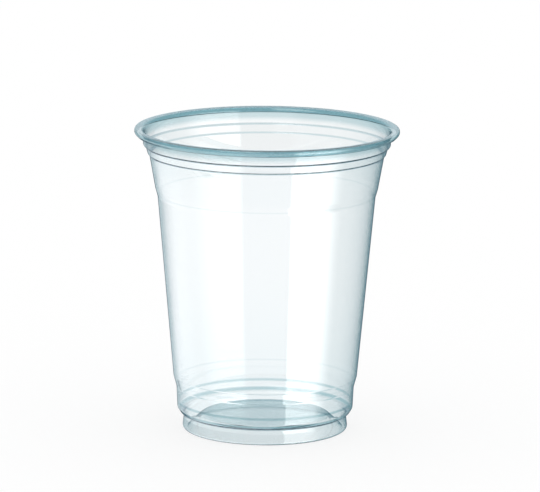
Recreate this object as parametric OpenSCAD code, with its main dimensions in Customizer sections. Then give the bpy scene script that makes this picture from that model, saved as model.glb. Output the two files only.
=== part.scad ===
// Clear plastic drinking cup, thermoformed from one sheet.
// The whole cup is a single bent sheet: floor, standing ring, shoulder, long wall,
// lid seat and rolled rim. Its line is laid out as a list of corners, each with the
// radius of its bend, then given its thickness and turned about the axis.
// Units are millimetres. The cup stands on Z = 0, centred on the Z axis.

/* [Cup] */
// Height from the table to the top of the rolled rim
cup_h = 109.9; // [104:0.1:130]
// Diameter across the rolled rim, which a lid is pushed over
rim_d = 95.2; // [93:0.1:100]
// Thickness of the sheet
wall = 0.35; // [0.25:0.05:0.45]

/* [Foot] */
// Diameter across the standing ring
foot_d = 59.8; // [57:0.1:63]
// Height of the floor's underside above the table
punt_h = 4.3; // [3.6:0.1:4.8]
// Width of the standing ring, from its inner to its outer bend
ring_w = 2; // [1.7:0.1:2.4]
// How far the ring's inner wall leans in on its way up to the floor
punt_lean = 4.9; // [3:0.1:6]
// How much the wall leans in from the standing ring up to the waist
waist_in = 0.45; // [0.2:0.05:0.8]
// Height of the waist above the table
waist_h = 4; // [3.4:0.1:4.4]
// How much the wall leans out between the waist and the ledge above it
waist_lean = 0.25; // [0.1:0.05:0.4]

/* [Shoulder and lower band] */
// Height of the ledge under the shoulder
ledge_h = 5.6; // [5:0.1:6]
// Width of that ledge
ledge_w = 1; // [0.6:0.1:1.4]
// How much the ledge rises over its width
ledge_rise = 0.5; // [0.2:0.1:0.8]
// How much the radius grows over the shoulder, from the ledge to the lower band
shoulder_w = 1.05; // [0.8:0.05:1.4]
// Height at which the shoulder meets the lower band
shoulder_h = 7.7; // [7.2:0.1:9]
// Radius of the shoulder
shoulder_r = 1.8; // [1:0.1:2.4]
// Height at which the lower band ends
band_h = 15.4; // [13:0.1:18]
// How much the radius of the lower band grows from bottom to top
band_flare = 0.35; // [0.1:0.05:0.6]

/* [Long wall] */
// Height of the step between the lower band and the long wall
low_step_h = 4; // [3:0.1:6]
// How much the radius grows over that step
low_step = 1.1; // [0.6:0.05:1.6]
// Drop from the rim's top to the long wall's top
wall_drop = 24.6; // [23.8:0.1:29]
// Height of the step at the long wall's top
high_step_h = 2.9; // [2:0.1:3.6]
// How much the radius grows over the high step
high_step = 0.85; // [0.4:0.05:1.2]

/* [Top band and lid seat] */
// Drop from the rim's top to the lid seat, the upper ledge
seat_drop = 5.9; // [5.3:0.1:6.5]
// Width of the lid seat
seat_w = 0.85; // [0.6:0.05:1]
// Height of the face between the lid seat and the stacking ledge
face_h = 2.6; // [2.2:0.1:3]
// How much that face leans in on its way down
face_lean = 0.75; // [0.3:0.05:1]
// Width of the stacking ledge, the lower one
stack_w = 0.6; // [0.5:0.05:0.8]
// How much either ledge rises over its width
seat_rise = 0.45; // [0.3:0.05:0.6]
// How much the radius of the top band grows from bottom to top
top_flare = 2.2; // [1.6:0.1:2.6]
// How much the collar leans out between the lid seat and the rim
collar_lean = 0.1; // [0:0.05:0.3]

/* [Rolled rim] */
// Width of the roll, from the collar's outer face to the rim's edge
roll_w = 3.1; // [2.6:0.1:3.4]
// Height of the roll, from its top down to the inner corner of its cut edge
roll_h = 2.1; // [1.9:0.1:2.6]
// Radius of the bend from the collar into the roll's top
crown_r = 1.9; // [1:0.1:1.9]
// Radius of the roll's outer edge
roll_r = 0.9; // [0.6:0.1:1]
// Radius of the bend above the roll's lower edge, which leans in
lip_r = 1.1; // [0.7:0.1:1.2]
// Height of that leaning edge
lip_h = 0.8; // [0.5:0.1:1]
// How far the edge leans in under the roll
lip_w = 0.8; // [0.4:0.1:1.2]

/* [Bends] */
// Radius of the small bends in the wall
bend_r = 0.8; // [0.6:0.1:1.2]
// Radius of the tight bends at the ledges
tight_r = 0.5; // [0.45:0.05:0.7]
// Radius of the wider bends at the steps and the standing ring
soft_r = 1.2; // [0.8:0.1:1.6]

/* [Hidden] */
round_faces = 144;
bend_step = 16;

rim_r = rim_d / 2;
foot_r = foot_d / 2;
ring_r = foot_r - ring_w;
punt_r = ring_r - punt_lean;
collar_r = rim_r - roll_w;
seat_r = collar_r - collar_lean;
face_top_r = seat_r - seat_w;
face_low_r = face_top_r - face_lean;
stack_r = face_low_r - stack_w;
step_top_r = stack_r - top_flare;
wall_top_r = step_top_r - high_step;
waist_r = foot_r - waist_in;
ledge_r = waist_r + waist_lean;
ledge_out_r = ledge_r + ledge_w;
band_r = ledge_out_r + shoulder_w;
band_top_r = band_r + band_flare;
wall_r = band_top_r + low_step;

seat_z = cup_h - seat_drop;
face_top_z = seat_z - seat_rise;
face_low_z = face_top_z - face_h;
stack_z = face_low_z - seat_rise;
wall_top_z = cup_h - wall_drop;
rim_under = cup_h - roll_h;

// Outer face of the sheet, as [radius, height, bend radius], from the middle of
// the floor out to the standing ring, up the wall and round the rolled rim.
sheet = [
    [0, punt_h, 0],
    [punt_r, punt_h, bend_r],
    [ring_r, 0, bend_r],
    [foot_r, 0, soft_r],
    [waist_r, waist_h, soft_r],
    [ledge_r, ledge_h, tight_r],
    [ledge_out_r, ledge_h + ledge_rise, tight_r],
    [band_r, shoulder_h, shoulder_r],
    [band_top_r, band_h, soft_r],
    [wall_r, band_h + low_step_h, soft_r],
    [wall_top_r, wall_top_z, soft_r],
    [step_top_r, wall_top_z + high_step_h, soft_r],
    [stack_r, stack_z, tight_r],
    [face_low_r, face_low_z, tight_r],
    [face_top_r, face_top_z, tight_r],
    [seat_r, seat_z, tight_r],
    [collar_r, cup_h - wall, crown_r - wall],
    [rim_r - wall, cup_h - wall, roll_r - wall],
    [rim_r - wall, rim_under + lip_h, lip_r - wall],
    [rim_r - wall - lip_w, rim_under, 0]
];

function unit(v) = v / norm(v);

// The direction v turned by t degrees, anticlockwise.
function turned(v, t) = [v.x * cos(t) - v.y * sin(t), v.x * sin(t) + v.y * cos(t)];

function flat(corner) = [corner.x, corner.y];

// The corner p between a and b, rounded. The arc is held to half of either side, and
// sides that run on in one line keep the corner's point alone.
function bend(a, p, b, r) =
    let (
        u = unit(p - a),
        v = unit(b - p),
        turn = atan2(cross(u, v), u * v),
        reach = min(r * tan(abs(turn) / 2), 0.48 * norm(p - a), 0.48 * norm(b - p))
    )
    abs(turn) < 0.1 ? [p] : arc(p - reach * u, u, turn, reach / tan(abs(turn) / 2));

// Arc of radius r that leaves start in direction u and turns by the given angle.
function arc(start, u, turn, r) =
    let (
        arm = turned(u, turn > 0 ? -90 : 90) * r,
        steps = ceil(abs(turn) / bend_step)
    )
    [for (k = [0 : steps]) start - arm + turned(arm, turn * k / steps)];

// The line through all corners, with each bend rounded.
function rounded(c) =
    let (last = len(c) - 1)
    [
        flat(c[0]),
        for (i = [1 : last - 1])
            each bend(flat(c[i - 1]), flat(c[i]), flat(c[i + 1]), c[i].z),
        flat(c[last])
    ];

// The line moved sideways by t, to the left of its own direction.
function shifted(line, t) =
    let (last = len(line) - 1)
    [
        for (i = [0 : last])
            let (
                before = unit(line[max(i, 1)] - line[max(i, 1) - 1]),
                after = unit(line[min(i, last - 1) + 1] - line[min(i, last - 1)])
            )
            line[i] + turned(before + after, 90) * t / (1 + before * after)
    ];

function reversed(line) = [for (i = [len(line) - 1 : -1 : 0]) line[i]];

module sheet_section() {
    outer_face = rounded(sheet);
    inner_face = shifted(outer_face, wall);
    polygon(concat(outer_face, reversed(inner_face)));
}

module cup() {
    color([0.8, 0.9, 0.92, 0.5])
        rotate_extrude($fn = round_faces)
            sheet_section();
}

cup();
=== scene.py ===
import math

import bmesh
import bpy
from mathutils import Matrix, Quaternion, Vector


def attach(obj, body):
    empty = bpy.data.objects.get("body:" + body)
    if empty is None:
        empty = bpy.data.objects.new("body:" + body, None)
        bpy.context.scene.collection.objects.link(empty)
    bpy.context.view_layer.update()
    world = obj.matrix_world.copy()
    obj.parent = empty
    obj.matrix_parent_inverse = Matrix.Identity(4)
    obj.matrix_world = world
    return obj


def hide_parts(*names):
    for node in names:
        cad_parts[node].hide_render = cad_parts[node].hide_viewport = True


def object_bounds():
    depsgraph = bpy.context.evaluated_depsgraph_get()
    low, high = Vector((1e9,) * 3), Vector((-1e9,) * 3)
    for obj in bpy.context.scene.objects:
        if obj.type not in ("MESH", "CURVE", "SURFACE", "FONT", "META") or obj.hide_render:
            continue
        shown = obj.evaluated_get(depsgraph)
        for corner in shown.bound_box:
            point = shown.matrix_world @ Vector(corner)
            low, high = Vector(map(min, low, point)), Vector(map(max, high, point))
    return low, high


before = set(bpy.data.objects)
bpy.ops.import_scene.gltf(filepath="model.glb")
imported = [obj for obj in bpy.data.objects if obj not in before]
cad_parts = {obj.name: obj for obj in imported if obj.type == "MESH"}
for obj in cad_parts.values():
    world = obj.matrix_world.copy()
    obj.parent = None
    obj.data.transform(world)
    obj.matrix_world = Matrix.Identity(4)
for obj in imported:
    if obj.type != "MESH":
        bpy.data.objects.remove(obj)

cad_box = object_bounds()

# Sizes of the cup, in metres. H is a height, W a width and R a radius. A lean or a flare is how
# far a face runs out sideways, a rise is how far a ledge climbs, and a drop is measured down from
# the rim's top. The sheet's thickness and the lip, which is the roll's cut edge, are guessed.
MM = 0.001
CUP_H = cad_box[1].z
RIM_R = 47.6 * MM
SHEET = 0.35 * MM

# Punt, which is the raised floor, then standing ring, waist and the ledge under the shoulder.
PUNT_H, PUNT_LEAN, RING_W = 4.3 * MM, 4.9 * MM, 2.0 * MM
FOOT_R = 29.9 * MM
WAIST_R, WAIST_H, WAIST_LEAN = 29.45 * MM, 4.0 * MM, 0.25 * MM
LEDGE_H, LEDGE_W, LEDGE_RISE = 5.6 * MM, 1.0 * MM, 0.5 * MM

# Lower band, long wall and top band.
BAND_R, SHOULDER_H, BAND_TOP_H, BAND_FLARE = 31.75 * MM, 7.7 * MM, 15.4 * MM, 0.35 * MM
WALL_R, LOW_STEP_H, WALL_DROP = 33.2 * MM, 4.0 * MM, 24.6 * MM
HIGH_STEP_H, HIGH_STEP, TOP_FLARE = 2.9 * MM, 0.85 * MM, 2.2 * MM

# Stacking ledge, lid seat, collar and rolled rim.
STACK_W, FACE_H, FACE_LEAN = 0.6 * MM, 2.6 * MM, 0.75 * MM
SEAT_DROP, SEAT_W, SEAT_RISE, COLLAR_LEAN = 5.9 * MM, 0.85 * MM, 0.45 * MM, 0.1 * MM
ROLL_W, ROLL_H, CROWN_R, ROLL_R = 3.1 * MM, 2.1 * MM, 1.9 * MM, 0.9 * MM
LIP_R, LIP_H, LIP_W = 1.1 * MM, 0.8 * MM, 0.8 * MM

# Radii of the bends.
SMALL_BEND, SOFT_BEND, SHOULDER_R, TIGHT_BEND = 0.8 * MM, 1.2 * MM, 1.8 * MM, 0.5 * MM

ring_r = FOOT_R - RING_W
floor_r = ring_r - PUNT_LEAN
ledge_r = WAIST_R + WAIST_LEAN
collar_r = RIM_R - ROLL_W
seat_r = collar_r - COLLAR_LEAN
face_top_r = seat_r - SEAT_W
face_low_r = face_top_r - FACE_LEAN
stack_r = face_low_r - STACK_W
step_top_r = stack_r - TOP_FLARE
wall_top_r = step_top_r - HIGH_STEP

seat_z = CUP_H - SEAT_DROP
face_top_z = seat_z - SEAT_RISE
face_low_z = face_top_z - FACE_H
stack_z = face_low_z - SEAT_RISE
wall_top_z = CUP_H - WALL_DROP
roll_out = RIM_R - SHEET
roll_top, rim_under = CUP_H - SHEET, CUP_H - ROLL_H

# Outer face of the sheet, as (radius, height, bend radius), from the floor's middle to the
# roll's cut edge.
CORNERS = [
    (0, PUNT_H, 0),
    (floor_r, PUNT_H, SMALL_BEND),
    (ring_r, 0, SMALL_BEND),
    (FOOT_R, 0, SOFT_BEND),
    (WAIST_R, WAIST_H, SOFT_BEND),
    (ledge_r, LEDGE_H, TIGHT_BEND),
    (ledge_r + LEDGE_W, LEDGE_H + LEDGE_RISE, TIGHT_BEND),
    (BAND_R, SHOULDER_H, SHOULDER_R),
    (BAND_R + BAND_FLARE, BAND_TOP_H, SOFT_BEND),
    (WALL_R, BAND_TOP_H + LOW_STEP_H, SOFT_BEND),
    (wall_top_r, wall_top_z, SOFT_BEND),
    (step_top_r, wall_top_z + HIGH_STEP_H, SOFT_BEND),
    (stack_r, stack_z, TIGHT_BEND),
    (face_low_r, face_low_z, TIGHT_BEND),
    (face_top_r, face_top_z, TIGHT_BEND),
    (seat_r, seat_z, TIGHT_BEND),
    (collar_r, roll_top, CROWN_R - SHEET),
    (roll_out, roll_top, ROLL_R - SHEET),
    (roll_out, rim_under + LIP_H, LIP_R - SHEET),
    (roll_out - LIP_W, rim_under, 0),
]

# How fine the mesh is: the most that a bend turns between two points, about how far apart the
# points of a straight are, how near its first and last ones are to its ends, and how many points
# go round the cup.
TURN_STEP = math.radians(9)
LONG_STEP = 5 * MM
NEAR_END = 0.12 * MM
AROUND = 288
# A bend takes at most this share of the shorter straight beside it.
BEND_SHARE = 0.48
# A turn or a radius smaller than this counts as none.
TINY = 1e-6


def rounded(corners):
    """Points along the sheet: an arc for each bend, and the straights between them."""
    flat = [Vector((r, z)) for r, z, _ in corners]
    line = [flat[0]]
    for i in range(1, len(flat) - 1):
        into, out = (flat[i] - flat[i - 1]).normalized(), (flat[i + 1] - flat[i]).normalized()
        turn = math.atan2(into.x * out.y - into.y * out.x, into.dot(out))
        half = max(math.tan(abs(turn) / 2), TINY)
        shorter = min((flat[i] - flat[i - 1]).length, (flat[i + 1] - flat[i]).length)
        reach = min(corners[i][2] * half, BEND_SHARE * shorter)
        side = math.copysign(reach / half, turn)
        start = flat[i] - into * reach
        centre = start + Vector((-into.y, into.x)) * side
        arm = start - centre
        steps = math.ceil(abs(turn) / TURN_STEP)
        straight(line, start)
        for k in range(1, steps + 1):
            angle = turn * k / steps
            c, s = math.cos(angle), math.sin(angle)
            line.append(centre + Vector((arm.x * c - arm.y * s, arm.x * s + arm.y * c)))
    straight(line, flat[-1])
    return line


def straight(line, end):
    """Carries the line on to end. A point close to each end makes the straight shade flat."""
    start = line[-1]
    run = (end - start).length
    if run > 3 * NEAR_END:
        way = (end - start) / run
        inner = run - 2 * NEAR_END
        steps = max(1, round(inner / LONG_STEP))
        line.extend(start + way * (NEAR_END + inner * k / steps) for k in range(steps + 1))
    line.append(end)


def inner_face(line):
    """The line moved by the sheet's thickness to the left of its own direction."""
    out = []
    for i, p in enumerate(line):
        ways = [(line[j + 1] - line[j]).normalized() for j in (i - 1, i) if 0 <= j < len(line) - 1]
        sides = [Vector((-w.y, w.x)) for w in ways]
        if len(sides) == 1:
            shift = sides[0]
        else:
            shift = (sides[0] + sides[1]) / (1 + sides[0].dot(sides[1]))
        out.append(p + shift * SHEET)
    return out


def lathe(name, section):
    """Turns a section, whose first and last points lie on the axis, into a smooth solid."""
    bm = bmesh.new()
    rings = []
    for r, z in section:
        if r < TINY:
            rings.append([bm.verts.new((0, 0, z))])
        else:
            rings.append([bm.verts.new((r * math.cos(a), r * math.sin(a), z))
                          for a in (2 * math.pi * k / AROUND for k in range(AROUND))])
    for low, high in zip(rings, rings[1:]):
        for k in range(AROUND):
            n = (k + 1) % AROUND
            if len(low) == 1:
                bm.faces.new((low[0], high[n], high[k]))
            elif len(high) == 1:
                bm.faces.new((low[k], low[n], high[0]))
            else:
                bm.faces.new((low[k], low[n], high[n], high[k]))
    bmesh.ops.recalc_face_normals(bm, faces=bm.faces)
    for face in bm.faces:
        face.smooth = True
    mesh = bpy.data.meshes.new(name)
    bm.to_mesh(mesh)
    bm.free()
    piece = bpy.data.objects.new(name, mesh)
    bpy.context.collection.objects.link(piece)
    return piece


class Wire:
    """A node's output, so that shader maths reads as a Python expression."""

    def __init__(self, tree, socket):
        self.tree, self.socket = tree, socket

    def maths(self, operation, *values):
        return node(self.tree, "ShaderNodeMath", {"operation": operation}, *values)

    def __add__(self, other):
        return self.maths("ADD", self, other)

    def __mul__(self, other):
        return self.maths("MULTIPLY", self, other)

    def __sub__(self, other):
        return self.maths("SUBTRACT", self, other)

    def __rsub__(self, other):
        return self.maths("SUBTRACT", other, self)

    def __truediv__(self, other):
        return self.maths("DIVIDE", self, other)

    def __pow__(self, other):
        return self.maths("POWER", self, other)

    __radd__, __rmul__ = __add__, __mul__

    def above(self, edge, soft):
        """0 below edge, 1 above it, with a smooth change as wide as soft."""
        settings = {"interpolation_type": "SMOOTHSTEP"}
        return node(self.tree, "ShaderNodeMapRange", settings, self, edge - soft / 2, edge + soft / 2)

    def between(self, low, high, soft):
        """1 from low to high and 0 outside, with smooth changes as wide as soft."""
        return self.above(low, soft) * (1 - self.above(high, soft))

    def at_least(self, count):
        """1 where a whole number is count or more, and 0 where it is less."""
        return self.above(count - 0.5, 0.1)


def node(tree, kind, settings=None, *values, out=0, **named):
    """Adds a node: first its settings, then its sockets in order and by name. Returns its output."""
    made = tree.nodes.new(kind)
    for key, value in (settings or {}).items():
        setattr(made, key, value)
    sockets = list(zip([s for s in made.inputs if s.enabled], values))
    sockets += [(made.inputs[key.replace("_", " ")], value) for key, value in named.items()]
    for socket, value in sockets:
        if isinstance(value, Wire):
            tree.links.new(value.socket, socket)
        elif value is not None:
            socket.default_value = value
    return Wire(tree, made.outputs[out]) if made.outputs else made


def mixed(share, a, b):
    """Colour a where share is 0 and colour b where it is 1."""
    tree = share.tree
    made = tree.nodes.new("ShaderNodeMix")
    made.data_type = "RGBA"
    tree.links.new(share.socket, made.inputs["Factor"])
    for socket, value in ((made.inputs[6], a), (made.inputs[7], b)):
        if isinstance(value, Wire):
            tree.links.new(value.socket, socket)
        else:
            socket.default_value = (*value, 1)
    return Wire(tree, made.outputs[2])


def blank_tree(owner):
    owner.use_nodes = True
    owner.node_tree.nodes.clear()
    return owner.node_tree


# Colours of the clear sheet's surface: its own tint on the long wall, darker towards the foot, then
# painted shade, from the floor's to the darkest line of a ledge; and the colour and strength with
# which its inside takes up light.
CLEAR = (0.985, 0.995, 0.995)
FOOT_DARKER = (0.95, 0.98, 0.985)
DEEP_AND_PAINTED_SHADE = (0.46, 0.64, 0.68)
FLOOR_SHADE = (0.43, 0.59, 0.62)
NAVY_LEDGE_SHADE = (0.3, 0.38, 0.45)
DARKEST_LEDGE_SHADE = (0.08, 0.14, 0.24)
INSIDE, INSIDE_DENSITY = (0.45, 0.8, 0.9), 60
ROUGHNESS, PET_IOR = 0.015, 1.57

# Heights and radii in the material are in millimetres, each with the width of its soft edge.
# The sheet is darker towards the foot, and this fades into the long wall's tint here.
FOOT_FADE = (30, 60)
# Towards the rim painted shade comes in by stages, for the dark that the rolled rim refracts: a
# height and how much is added above it. The last stage leaves the roll's top lighter, a painted
# highlight.
RIM_SHADE_STAGES = [
    ((88, 6), 0.05),
    ((105.7, 2.4), 0.65),
    ((108, 1.6), 0.35),
    ((109.5, 0.5), -0.6),
]
# The top band and the foot's outside are deeper where they are seen edge on: partly the longer
# way through the sheet, partly painted shade.
TOP_BAND, TOP_BAND_GAIN = (95, 6), 0.15
FOOT_TOP, FOOT_SIDE, FOOT_GAIN = (17, 3), (27.5, 1), 0.25
# Rings of painted shade all round, most of them at a sharp bend, for the dark that the bends
# refract: each one's lower and upper height, how softly it ends, and how strong the shade is there.
PAINTED_SHADE_RINGS = [
    (103.45, 104.05, 0.4, 0.6),
    (100.45, 101.0, 0.4, 0.6),
    (86.1, 86.6, 0.5, 0.15),
    (17.2, 17.7, 0.5, 0.15),
    (9.6, 10.5, 0.6, 0.75),
    (6.3, 7.4, 0.6, 0.93),
]
# Painted dark lines at the ledges, for the dark that they refract and reflect, shown only where
# the eye meets the sheet nearly edge on.
LEDGE_SHADE_RINGS = [
    (103.2, 104.3, 0.8, 0.9),
    (100.1, 101.2, 0.8, 0.9),
    (5.0, 6.4, 0.8, 0.9),
]
# The floor's painted shade, for the shaded table seen through it, in blotches: where it ends, about
# how many blotches fit in a metre, how sharp they are, and how much of the shade they and a
# slanting view each make.
FLOOR_SIDE, FLOOR_TOP = (floor_r / MM - 0.8, 3), (6, 1)
BLOTCHES_PER_M, BLOTCH_EDGE, BLOTCH_SHARE = 420, (0.5, 0.35), 0.3
FLOOR_SLANT_SHARE = 0.7
# How far from square on the sheet has to be seen for a tint or painted shade: 0 is square on and
# 1 is edge on.
TOP_BAND_SLANT = (0.35, 0.4)
FLOOR_SLANT = (0.55, 0.5)
NAVY_SHADE_SLANT = (0.62, 0.3)
FOOT_SLANT = (0.65, 0.4)
DARKEST_SHADE_SLANT = (0.76, 0.26)


def clear_pet():
    """Clear glossy sheet with a cool tint, and painted shade at its bends, ledges, rim and floor."""
    mat = bpy.data.materials.new("clear PET sheet")
    tree = blank_tree(mat)
    place = node(tree, "ShaderNodeTexCoord", out="Object")
    x, y, up = (node(tree, "ShaderNodeSeparateXYZ", None, place, out=k) / MM for k in range(3))
    radius = (x * x + y * y) ** 0.5
    slant = node(tree, "ShaderNodeLayerWeight", None, 0.5, out="Facing")

    # Painted shade at the rim, on the top band and foot seen edge on, and in rings at the bends.
    depth_and_shade = sum(up.above(*height) * gain for height, gain in RIM_SHADE_STAGES)
    depth_and_shade = depth_and_shade + up.above(*TOP_BAND) * slant.above(*TOP_BAND_SLANT) * TOP_BAND_GAIN
    foot = (1 - up.above(*FOOT_TOP)) * radius.above(*FOOT_SIDE)
    depth_and_shade = depth_and_shade + foot * slant.above(*FOOT_SLANT) * FOOT_GAIN
    for low, high, soft, strength in PAINTED_SHADE_RINGS:
        depth_and_shade = depth_and_shade.maths("MAXIMUM", depth_and_shade, up.between(low, high, soft) * strength)

    # Painted shade on the floor, where the table under it is in shade.
    floor = (1 - radius.above(*FLOOR_SIDE)) * (1 - up.above(*FLOOR_TOP))
    floor = floor * (slant.above(*FLOOR_SLANT) * FLOOR_SLANT_SHARE + (1 - FLOOR_SLANT_SHARE))
    noise = node(tree, "ShaderNodeTexNoise", None, Vector=place, Scale=BLOTCHES_PER_M, Detail=2)
    floor = floor * (noise.above(*BLOTCH_EDGE) * BLOTCH_SHARE + (1 - BLOTCH_SHARE))

    # Painted dark lines at the ledges.
    ledge_shade = sum(up.between(low, high, soft) * strength for low, high, soft, strength in LEDGE_SHADE_RINGS)

    # The sheet's own tint, darker towards the foot, with the painted shade laid over it.
    tint_and_shade = mixed(up.above(*FOOT_FADE), FOOT_DARKER, CLEAR)
    tint_and_shade = mixed(floor, tint_and_shade, FLOOR_SHADE)
    tint_and_shade = mixed(depth_and_shade, tint_and_shade, DEEP_AND_PAINTED_SHADE)
    tint_and_shade = mixed(slant.above(*NAVY_SHADE_SLANT) * ledge_shade, tint_and_shade, NAVY_LEDGE_SHADE)
    tint_and_shade = mixed(slant.above(*DARKEST_SHADE_SLANT) * ledge_shade, tint_and_shade, DARKEST_LEDGE_SHADE)
    surface = node(tree, "ShaderNodeBsdfPrincipled", None,
                   Base_Color=tint_and_shade, Roughness=ROUGHNESS, IOR=PET_IOR, Transmission_Weight=1)
    inside = node(tree, "ShaderNodeVolumeAbsorption", None,
                  Color=(*INSIDE, 1), Density=INSIDE_DENSITY)
    node(tree, "ShaderNodeOutputMaterial", None, Surface=surface, Volume=inside)
    return mat


WHITE = (1, 1, 1)
# The share of the table's white that is light falling on it, in which the cup's shadow shows.
TABLE_LIT = 0.2
TABLE_SIZE = 40


def white_table():
    """A white top. What the cup reflects passes through it, to the studio below."""
    mat = bpy.data.materials.new("white table")
    tree = blank_tree(mat)
    reflections = node(tree, "ShaderNodeLightPath", out="Glossy Depth")
    lit = node(tree, "ShaderNodeBsdfDiffuse", None, Color=(TABLE_LIT, TABLE_LIT, TABLE_LIT, 1))
    glow = node(tree, "ShaderNodeEmission", None, Color=(*WHITE, 1), Strength=1 - TABLE_LIT)
    top = node(tree, "ShaderNodeAddShader", None, lit, glow)
    open_way = node(tree, "ShaderNodeBsdfTransparent")
    face = node(tree, "ShaderNodeMixShader", None, reflections.at_least(1), top, open_way)
    node(tree, "ShaderNodeOutputMaterial", None, Surface=face)
    return mat


# Colours of the studio, from its dark cards to its lights.
CARD = (0.02, 0.05, 0.09)
DIM = (0.1, 0.15, 0.18)
DARK_TEAL = (0.09, 0.18, 0.22)
DUSK_TEAL = (0.2, 0.32, 0.36)
TEAL = (0.2, 0.36, 0.42)
GREY = (0.3, 0.4, 0.45)
SHADE_TEAL = (0.3, 0.6, 0.66)
FAR_LEFT = (0.4, 0.52, 0.57)
BEND_PALE = (0.6, 0.72, 0.75)
LEFT_BACK = (0.65, 0.78, 0.82)
BACK_PALE = (0.7, 0.8, 0.85)
FAR_PALE = (0.85, 0.87, 0.9)
FRONT_GAP = (1.0, 1.0, 1.08)
PALE = (1.15, 1.2, 1.25)
SOFTBOX_TOP = (2.2, 2.2, 2.2)
SOFTBOX = (4.0, 4.0, 4.0)

# Where the studio's parts lie, in degrees, each with the width of its soft edge. Azimuth 0 is
# the camera's side and positive to its right, and height 0 is level. The back wall, the back
# card and the bend wall lie beyond their azimuth on both sides.
LEFT_WALL_TOP, LEFT_WALL_BACK = (-15, 6), (-150, 40)
RIGHT_WALL, RIGHT_WALL_BACK = (20, 10), (100, 80)
GAP_LEFT, GAP_RIGHT, GAP_TOP = (-28, 14), (27, 5), (-2, 8)
FAR_RIGHT, FAR_SIDES = (-28, 10), (-150, 150, 40)
BACK_WALL, BACK_WALL_FOOT = (150, 40), (4, 6)
CEILING = (55, 20)
LOW_CARD, LOW_CARD_HEIGHT = (-176.5, -150, 2), (-62, -20, 4)
BACK_CARD, BACK_CARD_HEIGHT = (168, 8), (-32, -8, 6)
BEND_WALL, BEND_LOW, BEND_HIGH = (140, 30), (-75, -20, 8), (-8, 4, 6)
STRIP, STRIP_HEIGHT = (-50, -8, 8), (25, 75, 10)
BOX_LEFT, BOX_RIGHT, BOX_HEIGHT, BOX_MIDDLE = (27, 4), (74, 34), (-50, 22, 10), (-12, 8)
SEEN_DARK = (14, 16)


def studio_world():
    """White all round for what is seen straight, and a studio with a softbox for what is reflected."""
    world = bpy.data.worlds.new("studio")
    bpy.context.scene.world = world
    tree = blank_tree(world)
    way = node(tree, "ShaderNodeTexCoord", out="Generated")
    x, y, z = (node(tree, "ShaderNodeSeparateXYZ", None, way, out=k) for k in range(3))
    azimuth = x.maths("ARCTAN2", x, 0 - y) * math.degrees(1)
    aside = azimuth.maths("ABSOLUTE", azimuth)
    height = z.maths("ARCSINE", z) * math.degrees(1)
    reflections, faces_passed, scatters, seen_through = (
        node(tree, "ShaderNodeLightPath", out=name)
        for name in ("Glossy Depth", "Transmission Depth", "Diffuse Depth", "Is Transmission Ray"))
    passed_two, passed_three = faces_passed.at_least(2), faces_passed.at_least(3)

    # The walls: pale low on the left and teal on the right. In front, beside the softbox, is a
    # gap that is pale low down and dim above.
    left = mixed(height.above(*LEFT_WALL_TOP), PALE, GREY)
    left = mixed(azimuth.above(*LEFT_WALL_BACK), LEFT_BACK, left)
    right = mixed(azimuth.above(*RIGHT_WALL_BACK), TEAL, DUSK_TEAL)
    room = mixed(azimuth.above(*RIGHT_WALL), left, right)
    gap = mixed(height.above(*GAP_TOP), FRONT_GAP, DIM)
    in_gap = azimuth.above(*GAP_LEFT) * (1 - azimuth.above(*GAP_RIGHT))
    room = mixed(in_gap, room, gap)

    # Reflections that pass three faces of the sheet or more see a quieter room.
    far_back = mixed(height.above(*BACK_WALL_FOOT), DUSK_TEAL, BEND_PALE)
    far = mixed(azimuth.above(*FAR_RIGHT), FAR_LEFT, FAR_PALE)
    far = mixed(azimuth.between(*FAR_SIDES), far_back, far)
    room = mixed(passed_three, room, far)
    room = mixed(height.above(*CEILING), room, TEAL)

    # Straight behind the cup: a pale wall above, and below it dark cards for the lines of the
    # ledges and the outline. Bends seen through the near wall find pale bands there.
    back = aside.above(*BACK_WALL) * height.above(*BACK_WALL_FOOT)
    room = mixed(back * (1 - passed_three), room, BACK_PALE)
    low_card = azimuth.between(*LOW_CARD) * height.between(*LOW_CARD_HEIGHT)
    room = mixed(low_card, room, CARD)
    bend = aside.above(*BEND_WALL) * passed_two * (1 - passed_three)
    bend = bend * (height.between(*BEND_LOW) + height.between(*BEND_HIGH))
    room = mixed(bend, room, BEND_PALE)
    back_card = aside.above(*BACK_CARD) * height.between(*BACK_CARD_HEIGHT)
    room = mixed(back_card, room, CARD)

    # The lights: a strip high on the left, and a softbox on the right that is brightest low down.
    strip = azimuth.between(*STRIP) * height.between(*STRIP_HEIGHT)
    room = mixed(strip, room, SOFTBOX_TOP)
    box = azimuth.above(*BOX_LEFT) * (1 - azimuth.above(*BOX_RIGHT)) * height.between(*BOX_HEIGHT)
    reflected = mixed(box, room, mixed(height.above(*BOX_MIDDLE), SOFTBOX, SOFTBOX_TOP))
    reflected = mixed(reflections.at_least(3), reflected, DARK_TEAL)

    # What is seen through the sheet is white, but dark high up. The light that reaches the table
    # through it is teal.
    through = mixed(height.above(*SEEN_DARK) * seen_through, WHITE, DARK_TEAL)
    through = mixed(scatters.at_least(1) * seen_through, through, SHADE_TEAL)
    colour = mixed(reflections.at_least(1), through, reflected)
    light = node(tree, "ShaderNodeBackground", None, colour, 1.0)
    node(tree, "ShaderNodeOutputWorld", None, Surface=light)


line = rounded(CORNERS)
# The inner face's point on the axis may fall a hair beyond it.
section = [(max(p.x, 0), p.y) for p in line + inner_face(line)[::-1]]
cup = lathe("clear_cup", section)
cup.data.materials.append(clear_pet())
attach(cup, "root")
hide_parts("cup")

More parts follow.
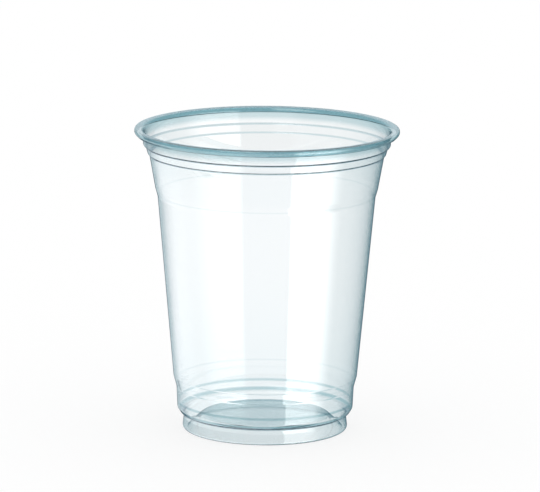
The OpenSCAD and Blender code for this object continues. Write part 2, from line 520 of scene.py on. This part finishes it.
bpy.ops.mesh.primitive_plane_add(size=TABLE_SIZE)
table = bpy.context.object
table.name = "table"
table.data.materials.append(white_table())
studio_world()

# How often light may pass the sheet's faces, be reflected, and pass the table.
FACES_PASSED, REFLECTIONS, TABLE_PASSES = 32, 12, 16

scene = bpy.context.scene
scene.view_settings.view_transform = "Standard"
scene.cycles.max_bounces = FACES_PASSED
scene.cycles.transmission_bounces = FACES_PASSED
scene.cycles.glossy_bounces = REFLECTIONS
scene.cycles.transparent_max_bounces = TABLE_PASSES

# The photograph's camera: the picture's size, how steeply it looks down, how far it stands from
# a point on the cup's axis, how near and how far it sees, its focal length in pixels, the height
# of that point, the pixel where the point lies, and how far the camera is tipped sideways.
PHOTO_W, PHOTO_H = 540, 492
CAMERA_STEEPNESS = math.radians(11.864)
CAMERA_DISTANCE = 1.6464
CAMERA_REACH = 0.05, 100
FOCAL_PX = 4564.2
LOOK_AT_Z = 0.05525
LOOK_AT_ROW, LOOK_AT_COLUMN = 277.1, 266.2
CAMERA_TIP = math.radians(0.446)
pixel = CAMERA_DISTANCE / FOCAL_PX

eye = Vector((0, -math.cos(CAMERA_STEEPNESS), math.sin(CAMERA_STEEPNESS))) * CAMERA_DISTANCE
eye.z += LOOK_AT_Z
camera = bpy.data.objects.new("camera", bpy.data.cameras.new("camera"))
bpy.context.collection.objects.link(camera)
camera.data.lens = camera.data.sensor_width * FOCAL_PX / PHOTO_W
camera.data.clip_start, camera.data.clip_end = CAMERA_REACH
camera.location = eye
aim = Vector((0, 0, LOOK_AT_Z)) - eye
turn = aim.to_track_quat("-Z", "Y")
across, up = turn @ Vector((1, 0, 0)), turn @ Vector((0, 1, 0))
aim += across * (PHOTO_W / 2 - LOOK_AT_COLUMN) * pixel
aim += up * (LOOK_AT_ROW - PHOTO_H / 2) * pixel
camera.rotation_mode = "QUATERNION"
camera.rotation_quaternion = aim.to_track_quat("-Z", "Y") @ Quaternion((0, 0, 1), CAMERA_TIP)
scene.camera = camera
